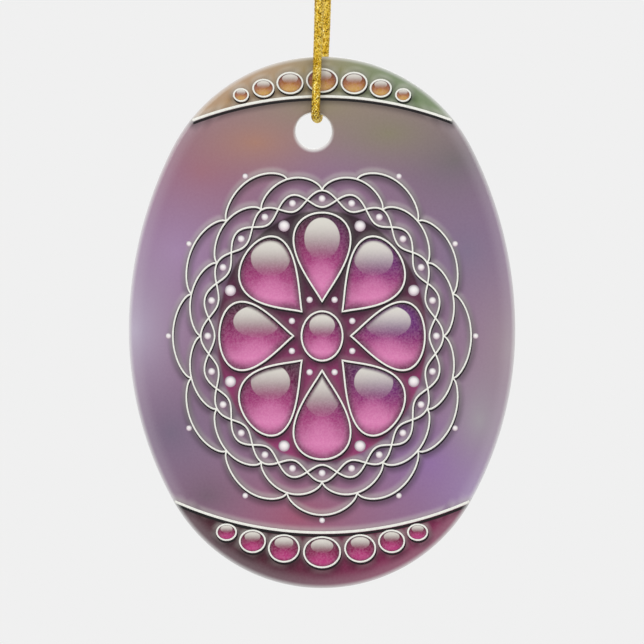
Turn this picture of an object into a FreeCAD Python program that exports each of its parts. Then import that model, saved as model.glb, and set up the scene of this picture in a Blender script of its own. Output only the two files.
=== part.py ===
import FreeCAD, Part
import math
import os

import Sketcher

# A flat oval porcelain ornament that hangs from a cord loop. Lengths are in millimetres.
# +Z is up, the printed front faces -Y, and the origin is where a hook carries the loop.

SIZES = (
    ("plate_half_width", 32.0, "middle of the plate to its side, at the widest line"),
    ("crown_height", 45.25, "widest line to the top of the plate"),
    ("foot_height", 42.75, "widest line to the bottom of the plate"),
    ("upper_side_radius", 66.4, "outline's arcs on both sides above the widest line"),
    ("lower_side_radius", 58.0, "outline's arcs on both sides below the widest line"),
    ("plate_thickness", 3.0, "front face to back face"),
    ("edge_rounding", 0.9, "rounding of the plate's edges"),
    ("hole_radius", 3.0, "hole for the cord"),
    ("hole_rounding", 0.5, "rounding of the hole's edges"),
    ("hole_below_crown", 12.3, "top of the plate to the middle of the hole"),
    ("hole_offset", 1.4, "middle line of the plate to the middle of the hole, to the left"),
    ("print_thickness", 0.06, "colour coat on the front face"),
    ("hook_to_hole", 28.0, "hook down to the middle of the hole"),
    ("cord_diameter", 1.4, "outside of the braided sheath"),
    ("core_diameter", 0.8, "yarn core"),
    ("core_clearance", 0.02, "core to the inside of the sheath"),
    ("face_gap", 0.3, "cord to the plate's faces and to the rounded edges of the hole"),
    ("rim_gap", 0.25, "cord to the top of the hole"),
    ("mid_below_hook", 12.8, "hook down to where each strand bends a little"),
    ("front_at_hook", 0.5, "front strand at the hook, to the left of the middle line"),
    ("front_at_mid", 0.55, "front strand at its slight bend, to the left"),
    ("front_at_hole", 1.1, "front strand at the hole, to the left"),
    ("rear_at_hole", 0.6, "rear strand at the hole, to the left"),
    ("rear_at_mid", 0.62, "rear strand at its slight bend, to the right"),
    ("rear_at_hook", 0.8, "rear strand at the hook, to the right"),
    ("knot_height", 5.7, "hook up to the middle of the knot"),
    ("knot_offset", 0.15, "middle line of the plate to the middle of the knot, to the right"),
    ("knot_half_height", 2.7, "knot, along the strands"),
    ("knot_half_width", 2.7, "knot, side to side"),
    ("knot_half_depth", 2.5, "knot, front to back"),
    ("tail_rise", 5.3, "top of the knot to the cut ends"),
    ("tail_spread", 2.4, "middle of the knot to each cut end, sideways"),
)

# From where the two runs of a square bend would cross to each of its corners, as a share of its radius.
BEND_CORNER_SHARE = 0.6
# What a free bend takes of the shorter of its two runs, as a share.
FREE_BEND_SHARE = 0.45
# Where the strands end and the tails start inside the knot, as shares of its half height and half width.
ENTRY_SHARE = 0.58
TAIL_ROOT_SHARE = 0.45
TAIL_SIDE_SHARE = 0.33
# Where a tail bends outwards, as shares of its spread and its rise.
TAIL_BEND_SHARES = (0.4, 0.3)
# A tube's volume may differ by this share from its section times its length.
VOLUME_ERROR_SHARE = 0.001
# An edge that is no deeper than this lies in one flat face.
FLAT = 0.001

document = FreeCAD.newDocument("hanging_ornament")
sheet = document.addObject("Spreadsheet::Sheet", "Sizes")


def fill_sheet():
    for row, (alias, value, note) in enumerate(SIZES, start=1):
        sheet.set(f"A{row}", alias)
        sheet.set(f"B{row}", str(value))
        sheet.set(f"C{row}", note)
        sheet.setAlias(f"B{row}", alias)
    document.recompute()


def size(alias):
    return float(sheet.get(alias))


def front_sketch(body, name):
    """A sketch in the middle plane of the plate: its x is +X, its y is +Z and it faces -Y."""
    planes = {plane.Role: plane for plane in body.Origin.OriginFeatures}
    sketch = body.newObject("Sketcher::SketchObject", name)
    sketch.AttachmentSupport = [(planes["XZ_Plane"], "")]
    sketch.MapMode = "FlatFace"
    return sketch


def dimension(sketch, name, expression, kind, *places):
    index = sketch.addConstraint(Sketcher.Constraint(kind, *places))
    sketch.renameConstraint(index, name)
    sketch.setExpression(f"Constraints.{name}", expression)


def end_arc(half_width, height, side_radius):
    """The end arc that meets both side arcs smoothly: its radius, and the angle at which they meet."""
    spare = 2 * half_width * side_radius - half_width**2 - height**2
    radius = spare / (2 * (side_radius - height))
    return radius, math.atan2(height - radius, side_radius - half_width)


def oval_outline(sketch, inset, less=""):
    """Six arcs: the crown, the foot, and two on each side that meet at the widest line.

    The outline lies inset by a length, which less takes off in the expressions of its sizes."""
    half_width = size("plate_half_width") - inset
    crown_height = size("crown_height") - inset
    foot_height = size("foot_height") - inset
    upper_radius = size("upper_side_radius") - inset
    lower_radius = size("lower_side_radius") - inset
    crown_radius, upper = end_arc(half_width, crown_height, upper_radius)
    foot_radius, lower = end_arc(half_width, foot_height, lower_radius)

    def arc(x, y, radius, start, end):
        circle = Part.Circle(FreeCAD.Vector(x, y), FreeCAD.Vector(0, 0, 1), radius)
        return sketch.addGeometry(Part.ArcOfCircle(circle, start, end))

    half_turn = math.pi
    right_upper = arc(half_width - upper_radius, 0, upper_radius, 0, upper)
    crown = arc(0, crown_height - crown_radius, crown_radius, upper, half_turn - upper)
    left_upper = arc(upper_radius - half_width, 0, upper_radius, half_turn - upper, half_turn)
    left_lower = arc(lower_radius - half_width, 0, lower_radius, half_turn, half_turn + lower)
    foot = arc(0, foot_radius - foot_height, foot_radius, half_turn + lower, 2 * half_turn - lower)
    right_lower = arc(half_width - lower_radius, 0, lower_radius, -lower, 0)

    def join(kind, *places):
        sketch.addConstraint(Sketcher.Constraint(kind, *places))

    for before, after in ((right_upper, crown), (crown, left_upper), (left_lower, foot), (foot, right_lower)):
        join("Tangent", before, 2, after, 1)
    for before, after in ((left_upper, left_lower), (right_lower, right_upper)):
        join("Coincident", before, 2, after, 1)
    for side in (right_upper, left_upper, left_lower, right_lower):
        join("PointOnObject", side, 3, -1)
    for end in (crown, foot):
        join("PointOnObject", end, 3, -2)
    for side in (right_upper, left_lower):
        join("PointOnObject", side, 1, -1)

    middle = (-1, 1)
    reach = f"Sizes.plate_half_width{less}"
    dimension(sketch, "right", reach, "DistanceX", *middle, right_upper, 1, half_width)
    dimension(sketch, "left", reach, "DistanceX", left_lower, 1, *middle, half_width)
    dimension(sketch, "upper_side", f"Sizes.upper_side_radius{less}", "Radius", right_upper, upper_radius)
    dimension(sketch, "lower_side", f"Sizes.lower_side_radius{less}", "Radius", left_lower, lower_radius)
    top = sketch.addGeometry(Part.Point(FreeCAD.Vector(0, crown_height)), True)
    bottom = sketch.addGeometry(Part.Point(FreeCAD.Vector(0, -foot_height)), True)
    for point, end in ((top, crown), (bottom, foot)):
        join("PointOnObject", point, 1, end)
        join("PointOnObject", point, 1, -2)
    dimension(sketch, "top", f"Sizes.crown_height{less}", "DistanceY", *middle, top, 1, crown_height)
    dimension(sketch, "bottom", f"Sizes.foot_height{less}", "DistanceY", bottom, 1, *middle, foot_height)


def hole_circle(sketch, radius, expression):
    offset = size("hole_offset")
    height = size("crown_height") - size("hole_below_crown")
    circle = sketch.addGeometry(Part.Circle(FreeCAD.Vector(-offset, height), FreeCAD.Vector(0, 0, 1), radius))
    middle = (-1, 1)
    dimension(sketch, "hole_offset", "Sizes.hole_offset", "DistanceX", circle, 3, *middle, offset)
    above = "Sizes.crown_height - Sizes.hole_below_crown"
    dimension(sketch, "hole_height", above, "DistanceY", *middle, circle, 3, height)
    dimension(sketch, "hole_radius", expression, "Radius", circle, radius)


def hang_from_hook(body):
    """A plate's own zero is the middle of its widest line, and the hook stands above that."""
    drop = "-(Sizes.hook_to_hole + Sizes.crown_height - Sizes.hole_below_crown)"
    body.setExpression("Placement.Base.z", drop)


def edges_in_faces(shape, wanted):
    """Names of the edges that lie in the front or the back face and pass a test."""
    flat = [edge.BoundBox.YLength < FLAT and wanted(edge) for edge in shape.Edges]
    return [f"Edge{number}" for number, good in enumerate(flat, start=1) if good]


def make_plate():
    body = document.addObject("PartDesign::Body", "ceramic_plate")
    outline = front_sketch(body, "plate_outline")
    oval_outline(outline, inset=0)
    slab = body.newObject("PartDesign::Pad", "slab")
    slab.Profile = outline
    slab.SideType = "Symmetric"
    slab.setExpression("Length", "Sizes.plate_thickness")
    document.recompute()

    rounded = body.newObject("PartDesign::Fillet", "rounded_edges")
    rounded.Base = (slab, edges_in_faces(slab.Shape, lambda edge: True))
    rounded.setExpression("Radius", "Sizes.edge_rounding")

    ring = front_sketch(body, "hole_outline")
    hole_circle(ring, size("hole_radius"), "Sizes.hole_radius")
    hole = body.newObject("PartDesign::Pocket", "cord_hole")
    hole.Profile = ring
    hole.SideType = "Symmetric"
    hole.Type = "ThroughAll"
    document.recompute()

    rim = body.newObject("PartDesign::Fillet", "rounded_hole")
    rim.Base = (hole, edges_in_faces(hole.Shape, lambda edge: edge.isClosed()))
    rim.setExpression("Radius", "Sizes.hole_rounding")
    hang_from_hook(body)
    return body


def make_print():
    """The colour coat covers the flat of the front face, up to where the edges start to round."""
    body = document.addObject("PartDesign::Body", "front_print")
    outline = front_sketch(body, "print_outline")
    outline.setExpression("AttachmentOffset.Base.z", "Sizes.plate_thickness / 2")
    oval_outline(outline, inset=size("edge_rounding"), less=" - Sizes.edge_rounding")
    clear = size("hole_radius") + size("hole_rounding")
    hole_circle(outline, clear, "Sizes.hole_radius + Sizes.hole_rounding")
    coat = body.newObject("PartDesign::Pad", "coat")
    coat.Profile = outline
    coat.setExpression("Length", "Sizes.print_thickness")
    hang_from_hook(body)
    return body


def cord_route():
    """The cord's points, chosen by hand, each with the radius of its bend, or None for a free bend.

    It leaves the knot, goes down the front of the plate, through the hole and up the back."""
    radius = size("cord_diameter") / 2
    strand = size("plate_thickness") / 2 + size("face_gap") + radius
    bend = size("hole_rounding") + size("face_gap") + radius
    turned_in = strand - bend * BEND_CORNER_SHARE
    under_rim = size("hole_radius") - size("rim_gap") - radius - size("hook_to_hole")
    above_rim = under_rim + bend * BEND_CORNER_SHARE
    # Each strand bends round the hook and leans in to the middle of the knot.
    lean = math.asin(strand / size("knot_height"))
    beside_hook = strand * math.tan(lean / 2)
    entry = size("knot_height") - size("knot_half_height") * ENTRY_SHARE
    entry_side = (size("knot_height") - entry) * math.tan(lean)
    middle = -size("mid_below_hook")
    places = (
        (-size("front_at_hook"), -entry_side, entry, None),
        (-size("front_at_hook"), -strand, beside_hook, strand),
        (-size("front_at_mid"), -strand, middle, None),
        (-size("front_at_hole"), -strand, above_rim, bend),
        (-size("front_at_hole"), -turned_in, under_rim, bend),
        (-size("rear_at_hole"), turned_in, under_rim, bend),
        (-size("rear_at_hole"), strand, above_rim, bend),
        (size("rear_at_mid"), strand, middle, None),
        (size("rear_at_hook"), strand, beside_hook, strand),
        (size("rear_at_hook"), entry_side, entry, None),
    )
    return [(FreeCAD.Vector(x, y, z), bend_radius) for x, y, z, bend_radius in places]


def tail_route(side):
    """One cut end, from inside the knot up and outwards. side is -1 for the left one and 1 for the right."""
    knot = FreeCAD.Vector(size("knot_offset"), 0, size("knot_height"))
    spread_share, rise_share = TAIL_BEND_SHARES
    across, up = side * size("tail_spread"), size("knot_half_height") + size("tail_rise")
    bend_up = size("knot_half_height") + size("tail_rise") * rise_share
    root = FreeCAD.Vector(
        side * size("knot_half_width") * TAIL_SIDE_SHARE, 0, size("knot_half_height") * TAIL_ROOT_SHARE
    )
    bend = FreeCAD.Vector(across * spread_share, 0, bend_up)
    end = FreeCAD.Vector(across, side * size("cord_diameter") / 2, up)
    return [(knot + root, None), (knot + bend, None), (knot + end, None)]


def rounded_wire(route, name):
    """Straight runs between the route's points, joined by tangent arcs."""
    points = [point for point, _ in route]
    edges, radii, start = [], [], points[0]
    for before, (corner, radius), after in zip(points, route[1:], points[2:]):
        back, ahead = before - corner, after - corner
        half_turn = (math.pi - back.getAngle(ahead)) / 2
        if radius is None:
            radius = FREE_BEND_SHARE * min(back.Length, ahead.Length) / math.tan(half_turn)
        reach = radius * math.tan(half_turn)
        back.normalize()
        ahead.normalize()
        first, last = corner + back * reach, corner + ahead * reach
        inwards = (back + ahead).normalize()
        crest = corner + inwards * (radius / math.cos(half_turn) - radius)
        edges.append(Part.LineSegment(start, first).toShape())
        edges.append(Part.Arc(first, crest, last).toShape())
        radii.append(f"{radius:.2f}")
        start = last
    edges.append(Part.LineSegment(start, points[-1]).toShape())
    print(name, "bend radii", radii)
    return Part.Wire(edges)


def tube(wire, outer_radius, bore_radius=0):
    """A round tube along a wire, with a bore if it has a radius. Its volume is its section times its length."""

    def rod(radius):
        start = wire.Edges[0]
        section = Part.Wire(Part.Circle(start.valueAt(0), start.tangentAt(0), radius).toShape())
        return wire.makePipeShell([section], True, False)

    shape = rod(outer_radius)
    if bore_radius:
        shape = shape.cut(rod(bore_radius))
    expected = math.pi * (outer_radius**2 - bore_radius**2) * wire.Length
    if abs(shape.Volume - expected) > expected * VOLUME_ERROR_SHARE:
        raise ValueError(f"a tube's volume is {shape.Volume:.3f}, not {expected:.3f}")
    return shape.Solids[0]


def shape_feature(label, shape):
    feature = document.addObject("Part::Feature", label)
    feature.Shape = shape
    feature.Placement = FreeCAD.Placement()
    return feature


def make_cord():
    wire = rounded_wire(cord_route(), "cord")
    print(f"cord length {wire.Length:.2f}")
    core = size("core_diameter") / 2
    sheath = tube(wire, size("cord_diameter") / 2, core + size("core_clearance"))
    return [shape_feature("cord_sheath", sheath), shape_feature("cord_core", tube(wire, core))]


def make_tails():
    tails = [tube(rounded_wire(tail_route(side), "tail"), size("cord_diameter") / 2) for side in (-1, 1)]
    return shape_feature("cord_tails", Part.makeCompound(tails))


def make_knot():
    knot = document.addObject("Part::Ellipsoid", "cord_knot")
    knot.setExpression("Radius1", "Sizes.knot_half_height")
    knot.setExpression("Radius2", "Sizes.knot_half_width")
    knot.setExpression("Radius3", "Sizes.knot_half_depth")
    knot.setExpression("Placement.Base.x", "Sizes.knot_offset")
    knot.setExpression("Placement.Base.z", "Sizes.knot_height")
    return knot


def check_document(pieces):
    document.recompute()
    failed = [item.Label for item in document.Objects if {"Invalid", "Error"} & set(item.State)]
    failed += [piece.Label for piece in pieces if piece.Shape.isNull() or not piece.Shape.isValid()]
    if failed:
        raise ValueError(f"these failed: {failed}")


def write_parts(pieces):
    os.makedirs("parts", exist_ok=True)
    for piece in pieces:
        box = piece.Shape.optimalBoundingBox()
        extent = f"{box.XLength:.2f} by {box.YLength:.2f} by {box.ZLength:.2f} mm"
        print(f"{piece.Label}: {len(piece.Shape.Solids)} solids, {piece.Shape.Volume:.2f} mm3, {extent}")
        piece.Shape.exportStep(f"parts/{piece.Label}.step")


fill_sheet()
sub_parts = [make_plate(), make_print(), *make_cord(), make_knot(), make_tails()]
check_document(sub_parts)
write_parts(sub_parts)
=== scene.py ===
import math
import random

import bpy
import numpy as np
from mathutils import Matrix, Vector
from mathutils.geometry import delaunay_2d_cdt
from mathutils.kdtree import KDTree


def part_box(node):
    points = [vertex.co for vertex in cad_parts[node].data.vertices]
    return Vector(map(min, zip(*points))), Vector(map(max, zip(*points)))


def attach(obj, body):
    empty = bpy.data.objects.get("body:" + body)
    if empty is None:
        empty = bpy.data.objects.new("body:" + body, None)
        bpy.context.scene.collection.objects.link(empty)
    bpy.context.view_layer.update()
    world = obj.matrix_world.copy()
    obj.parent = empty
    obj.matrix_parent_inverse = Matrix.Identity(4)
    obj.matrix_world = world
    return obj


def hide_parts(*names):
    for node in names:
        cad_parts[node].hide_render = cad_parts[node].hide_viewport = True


# A flat oval porcelain ornament on a gold cord, seen straight on. The frame is in metres:
# +Z is up, the printed front faces -Y, and the origin is where a hook carries the cord loop.
# Lengths below are in millimetres, and MM turns them into the frame's metres.

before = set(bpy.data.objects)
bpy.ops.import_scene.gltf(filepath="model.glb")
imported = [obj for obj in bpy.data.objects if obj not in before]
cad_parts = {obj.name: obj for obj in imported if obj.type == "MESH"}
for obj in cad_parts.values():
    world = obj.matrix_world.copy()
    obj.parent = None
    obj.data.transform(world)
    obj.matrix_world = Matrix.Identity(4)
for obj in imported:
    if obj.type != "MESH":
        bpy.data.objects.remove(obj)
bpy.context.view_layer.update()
random.seed(7)

MM = 0.001
PLATE_LOW, PLATE_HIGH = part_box("ceramic_plate")
PRINT_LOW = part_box("front_print")[0]

# The plate's outline, edges and hole, as the solids have them
HALF_WIDTH = 32.0
CROWN_HEIGHT = 45.25
FOOT_HEIGHT = 42.75
UPPER_SIDE_RADIUS = 66.4
LOWER_SIDE_RADIUS = 58.0
EDGE_ROUNDING = 0.9
HOLE_RADIUS = 3.0
HOLE_ROUNDING = 0.5
HOLE_BELOW_CROWN = 12.3
HOLE_OFFSET = 1.4
HOLE = np.array((-HOLE_OFFSET, CROWN_HEIGHT - HOLE_BELOW_CROWN))

# The plate's front face, the print's thickness on it, and the height of the plate's widest line
FACE = -PLATE_LOW.y / MM
COAT = -PRINT_LOW.y / MM - FACE
WIDEST_LINE = PLATE_HIGH.z / MM - CROWN_HEIGHT

# The photograph is 644 pixels square. The outline's middle and its widest line stand at these pixels.
PHOTO_PIXELS = 644
PIXELS_PER_MM = 6.05
MIDDLE_PIXEL_X = 322.07
WIDEST_PIXEL_Y = 329.9
LENS = 180.0
SENSOR = 36.0

# The cord's route, from the knot down the front, through the hole and up the back
CORD_ROUTE = (
    (-0.5, -0.764, 4.134),
    (-0.5, -2.5, 0.577),
    (-0.52, -2.5, -7.8),
    (-0.8, -2.5, -17.4),
    (-1.1, -2.5, -25.05),
    (-1.1, -1.6, -25.95),
    (-0.6, 1.6, -25.95),
    (-0.6, 2.5, -25.05),
    (0.32, 2.5, -17.4),
    (0.8, 2.5, -7.8),
    (0.8, 2.5, 0.577),
    (0.8, 0.764, 4.134),
)


def linear(red, green, blue):
    """A colour as a screen shows it, 0 to 255 a channel, in the values that a shader takes."""
    shares = [channel / 255 for channel in (red, green, blue)]
    return (*[s / 12.92 if s <= 0.04045 else ((s + 0.055) / 1.055) ** 2.4 for s in shares], 1.0)


BACKGROUND = linear(240, 240, 240)
GLAZE_WHITE = linear(240, 240, 239)
GLAZE_SHADE = linear(237, 237, 234)


class Nodes:
    """A tree of nodes, added and linked one at a time."""

    def __init__(self, tree):
        self.tree = tree

    def plug(self, socket, value):
        """Links another node's socket to this one, or sets its value."""
        if isinstance(value, bpy.types.NodeSocket):
            self.tree.links.new(value, socket)
        else:
            socket.default_value = value

    def node(self, kind, inputs=(), **settings):
        node = self.tree.nodes.new(kind)
        for key, value in settings.items():
            setattr(node, key, value)
        for socket, value in dict(inputs).items():
            self.plug(node.inputs[socket], value)
        return node

    def math(self, operation, *values):
        node = self.node("ShaderNodeMath", operation=operation)
        for socket, value in zip(node.inputs, values):
            self.plug(socket, value)
        return node.outputs[0]

    def times(self, first, second):
        return self.math("MULTIPLY", first, second)


class Shader(Nodes):
    """A material's nodes."""

    def __init__(self, name):
        self.material = bpy.data.materials.new(name)
        self.material.use_nodes = True
        super().__init__(self.material.node_tree)
        self.surface = self.tree.nodes["Principled BSDF"]

    def smooth(self, value, low, high, start=0.0, end=1.0):
        """Goes gently from start to end as value goes from low to high."""
        inputs = {"Value": value, "From Min": low, "From Max": high, "To Min": start, "To Max": end}
        node = self.node("ShaderNodeMapRange", inputs, interpolation_type="SMOOTHSTEP")
        return node.outputs["Result"]

    def mix(self, amount, first, second):
        """A colour between two others. The node's colours are its sockets 6 and 7, and its output 2."""
        node = self.node("ShaderNodeMix", {0: amount, 6: first, 7: second}, data_type="RGBA")
        return node.outputs[2]

    def ramp(self, value, stops):
        node = self.node("ShaderNodeValToRGB", {"Fac": value})
        elements = node.color_ramp.elements
        while len(elements) < len(stops):
            elements.new(0.5)
        for element, (position, colour) in zip(elements, stops):
            element.position = position
            element.color = colour
        return node.outputs["Color"]

    def coordinates(self):
        return self.node("ShaderNodeTexCoord").outputs["Object"]

    def attribute(self, name, output="Fac"):
        return self.node("ShaderNodeAttribute", attribute_name=name).outputs[output]

    def channels(self, vector):
        """The three numbers of a vector."""
        parts = self.node("ShaderNodeSeparateXYZ", {0: vector}).outputs
        return parts["X"], parts["Y"], parts["Z"]

    def paint(self):
        """The three numbers of the piece's paint."""
        return self.channels(self.attribute("paint", "Vector"))

    def vector_math(self, operation, *vectors):
        return self.node("ShaderNodeVectorMath", enumerate(vectors), operation=operation).outputs

    def noise(self, scale, detail=2.0, roughness=0.5):
        inputs = {"Vector": self.coordinates(), "Scale": scale, "Detail": detail, "Roughness": roughness}
        return self.node("ShaderNodeTexNoise", inputs).outputs["Fac"]

    def blob(self, x, z, reach_x, reach_z):
        """1 at a place on the plate, falling to 0 at the given reach from it."""
        across = (1 / (reach_x * MM), 0.0, 1 / (reach_z * MM))
        middle = Vector(place(x, z, 0))
        moved = [-m * a for m, a in zip(middle, across)]
        inputs = {"Vector": self.coordinates(), "Location": moved, "Scale": across}
        spot = self.node("ShaderNodeMapping", inputs, vector_type="POINT").outputs[0]
        falloff = self.node("ShaderNodeTexGradient", {"Vector": spot}, gradient_type="QUADRATIC_SPHERE")
        return falloff.outputs["Fac"]

    def bump(self, height, distance, strength=1.0):
        inputs = {"Height": height, "Distance": distance, "Strength": strength}
        self.plug(self.surface.inputs["Normal"], self.node("ShaderNodeBump", inputs).outputs["Normal"])

    def set(self, **values):
        """Sets the surface's own sockets, whose names have spaces where these have underscores."""
        for name, value in values.items():
            self.plug(self.surface.inputs[name.replace("_", " ")], value)


def place(x, z, y):
    """x and z from the middle of the plate's widest line, y forwards from its middle plane."""
    return (x * MM, -y * MM, (z + WIDEST_LINE) * MM)


def full_turn(count):
    return np.linspace(0, 2 * math.pi, count, endpoint=False)


def circle(count):
    return np.stack([np.cos(full_turn(count)), np.sin(full_turn(count))], axis=1)


def new_object(name, data):
    made = bpy.data.objects.new(name, data)
    bpy.context.scene.collection.objects.link(made)
    return made


def new_piece(name, vertices, faces, material, body):
    mesh = bpy.data.meshes.new(name)
    mesh.from_pydata(np.asarray(vertices).tolist(), [], faces)
    mesh.materials.append(material)
    mesh.polygons.foreach_set("use_smooth", [True] * len(mesh.polygons))
    mesh.update()
    piece = new_object(name, mesh)
    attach(piece, body)
    return piece


def store(piece, name, values):
    """Keeps one number, or three, for each point of a piece, for its material."""
    kind, field = ("FLOAT", "value") if values.ndim == 1 else ("FLOAT_VECTOR", "vector")
    piece.data.attributes.new(name, kind, "POINT").data.foreach_set(field, values.ravel())


def make_camera():
    """Straight on. A pixel of the photograph is the same place on the print's face."""
    distance = PHOTO_PIXELS / PIXELS_PER_MM * LENS / SENSOR
    middle_x = (PHOTO_PIXELS / 2 - MIDDLE_PIXEL_X) / PIXELS_PER_MM
    middle_z = (WIDEST_PIXEL_Y - PHOTO_PIXELS / 2) / PIXELS_PER_MM
    data = bpy.data.cameras.new("camera")
    data.lens = LENS
    data.sensor_width = SENSOR
    camera = new_object("camera", data)
    camera.location = place(middle_x, middle_z, FACE + COAT + distance)
    camera.rotation_euler = (math.pi / 2, 0, 0)
    bpy.context.scene.camera = camera


# The studio. The floor fades into the background between two distances.
FLOOR_BELOW = 150.0
FLOOR_REACH = 900.0
FLOOR_FADE = (150.0, 420.0)
WORLD_LEVEL = 0.67
WORLD_LIGHT = (1, 1, 1, 1)
LAMPS = (
    # name, place, width and watts
    ("key", (-420.0, -620.0, 360.0), 380.0, 2.15),
    ("fill", (520.0, -520.0, 60.0), 420.0, 0.85),
    ("back", (80.0, 620.0, 380.0), 420.0, 1.1),
)


def make_world():
    """The pale background to the camera, gloss and glass, and a plain even light to the rest."""
    world = bpy.data.worlds.new("studio")
    world.use_nodes = True
    world.node_tree.nodes.clear()
    nodes = Nodes(world.node_tree)
    rays = nodes.node("ShaderNodeLightPath").outputs
    seen = nodes.math("MAXIMUM", rays["Is Camera Ray"], rays["Is Glossy Ray"])
    seen = nodes.math("MAXIMUM", seen, rays["Is Transmission Ray"])
    light = nodes.node("ShaderNodeBackground", {"Color": WORLD_LIGHT, "Strength": WORLD_LEVEL})
    pale = nodes.node("ShaderNodeBackground", {"Color": BACKGROUND})
    mixed = nodes.node("ShaderNodeMixShader", {0: seen, 1: light.outputs[0], 2: pale.outputs[0]})
    nodes.node("ShaderNodeOutputWorld", {0: mixed.outputs[0]})
    bpy.context.scene.world = world


def floor_material():
    """Pale and dull, and farther out the background's own colour to the camera and to gloss."""
    shader = Shader("pale_floor")
    shader.set(Base_Color=BACKGROUND, Roughness=0.9)
    distance = shader.vector_math("LENGTH", shader.coordinates())["Value"]
    near, far = FLOOR_FADE
    outside = shader.smooth(distance, near * MM, far * MM)
    glow = shader.node("ShaderNodeEmission", {"Color": BACKGROUND}).outputs[0]
    rays = shader.node("ShaderNodeLightPath").outputs
    seen = shader.math("MAXIMUM", rays["Is Camera Ray"], rays["Is Glossy Ray"])
    amount = shader.times(seen, outside)
    mixed = shader.node("ShaderNodeMixShader", {0: amount, 1: shader.surface.outputs[0], 2: glow})
    shader.plug(shader.tree.nodes["Material Output"].inputs["Surface"], mixed.outputs[0])
    return shader.material


def make_floor():
    """A pale floor below the plate that keeps its soft shadow."""
    height = PLATE_LOW.z - FLOOR_BELOW * MM
    reach = FLOOR_REACH * MM
    ways = ((-1, -1), (1, -1), (1, 1), (-1, 1))
    mesh = bpy.data.meshes.new("floor")
    mesh.from_pydata([(x * reach, y * reach, height) for x, y in ways], [], [(0, 1, 2, 3)])
    mesh.materials.append(floor_material())
    floor = new_object("floor", mesh)


def make_lamps():
    aim = Vector(place(0, 0, 0))
    for name, where, width, watts in LAMPS:
        data = bpy.data.lights.new(name, "AREA")
        data.shape = "DISK"
        data.size = width * MM
        data.energy = watts
        lamp = new_object(name, data)
        lamp.location = Vector(where) * MM
        lamp.rotation_euler = (aim - lamp.location).to_track_quat("-Z", "Y").to_euler()


# The braided cord: flat metallic ribbons that wind both ways round a yarn core of three plies
RIBBONS_EACH_WAY = 8
TURN_LENGTH = 4.0
BRAID_RADIUS = 0.645
BRAID_WAVE = 0.045
RIBBON_WIDTH = 0.28
RIBBON_THICKNESS = 0.1
RIBBON_SIDES = 6
BRAID_STEP = 0.14
PLIES = 3
PLY_RADIUS = 0.22
PLY_OFFSET = 0.25
PLY_TURN_LENGTH = 3.2
PLY_SIDES = 8
# A direction that no route starts in
ASKEW = (1.0, 0.3, 0.2)


def lengths_along(line):
    return np.concatenate(([0], np.cumsum(np.linalg.norm(np.diff(line, axis=0), axis=1))))


def points_at(wanted, lengths, line):
    return np.stack([np.interp(wanted, lengths, column) for column in line.T], axis=1)


def along_spline(points, step):
    """Evenly spaced points of the smooth curve with these control points, and how far along they are."""
    curve = bpy.data.curves.new("route", "CURVE")
    curve.dimensions = "3D"
    spline = curve.splines.new("NURBS")
    spline.points.add(len(points) - 1)
    for point, where in zip(spline.points, points):
        point.co = (*where, 1.0)
    spline.order_u = 3
    spline.use_endpoint_u = True
    spline.resolution_u = 48
    carrier = new_object("route", curve)
    mesh = bpy.data.meshes.new_from_object(carrier)
    line = np.array([v.co for v in mesh.vertices])
    bpy.data.objects.remove(carrier)
    bpy.data.curves.remove(curve)
    bpy.data.meshes.remove(mesh)
    lengths = lengths_along(line)
    wanted = np.linspace(0, lengths[-1], int(round(lengths[-1] / step)) + 1)
    return points_at(wanted, lengths, line), wanted


def travelling_frames(line):
    """At each point of a line, its direction and two directions across it that don't spin."""
    ahead = np.gradient(line, axis=0)
    ahead /= np.linalg.norm(ahead, axis=1)[:, None]
    side, sides = np.cross(ahead[0], ASKEW), []
    for direction in ahead:
        side = side - direction * (side @ direction)
        side = side / np.linalg.norm(side)
        sides.append(side)
    return ahead, np.array(sides), np.cross(ahead, sides)


def rod_faces(rows, sides, start):
    """The faces of a rod with that many rings of vertices, closed at both ends."""
    faces = []
    for row in range(rows - 1):
        here, after = start + row * sides, start + (row + 1) * sides
        for corner in range(sides):
            following = (corner + 1) % sides
            faces.append((here + corner, here + following, after + following, after + corner))
    last = start + (rows - 1) * sides
    faces.append(tuple(start + corner for corner in reversed(range(sides))))
    faces.append(tuple(last + corner for corner in range(sides)))
    return faces


def rods(line, strands):
    """Vertices and faces of rods that wind round a line, and the rod that each vertex belongs to.

    Each strand gives, for every point of the line, its angle, its distance from the line, its slope,
    its width and its thickness, and the number of sides of its section."""
    ahead, side, third = travelling_frames(line)
    vertices, faces, owner = [], [], []
    for number, (angle, radius, slope, width, thickness, sides) in enumerate(strands):
        outwards = side * np.cos(angle)[:, None] + third * np.sin(angle)[:, None]
        around = third * np.cos(angle)[:, None] - side * np.sin(angle)[:, None]
        broad = around * np.cos(slope) - ahead * np.sin(slope)
        middle = line + outwards * radius[:, None]
        section = circle(sides)
        across = section[None, :, :1] * (width / 2)[:, None, None]
        through = section[None, :, 1:] * (thickness / 2)[:, None, None]
        ring = middle[:, None] + broad[:, None] * across + outwards[:, None] * through
        faces += rod_faces(len(line), sides, len(owner))
        vertices.append(ring.reshape(-1, 3))
        owner += [number] * (len(line) * sides)
    return np.concatenate(vertices), faces, owner


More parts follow.
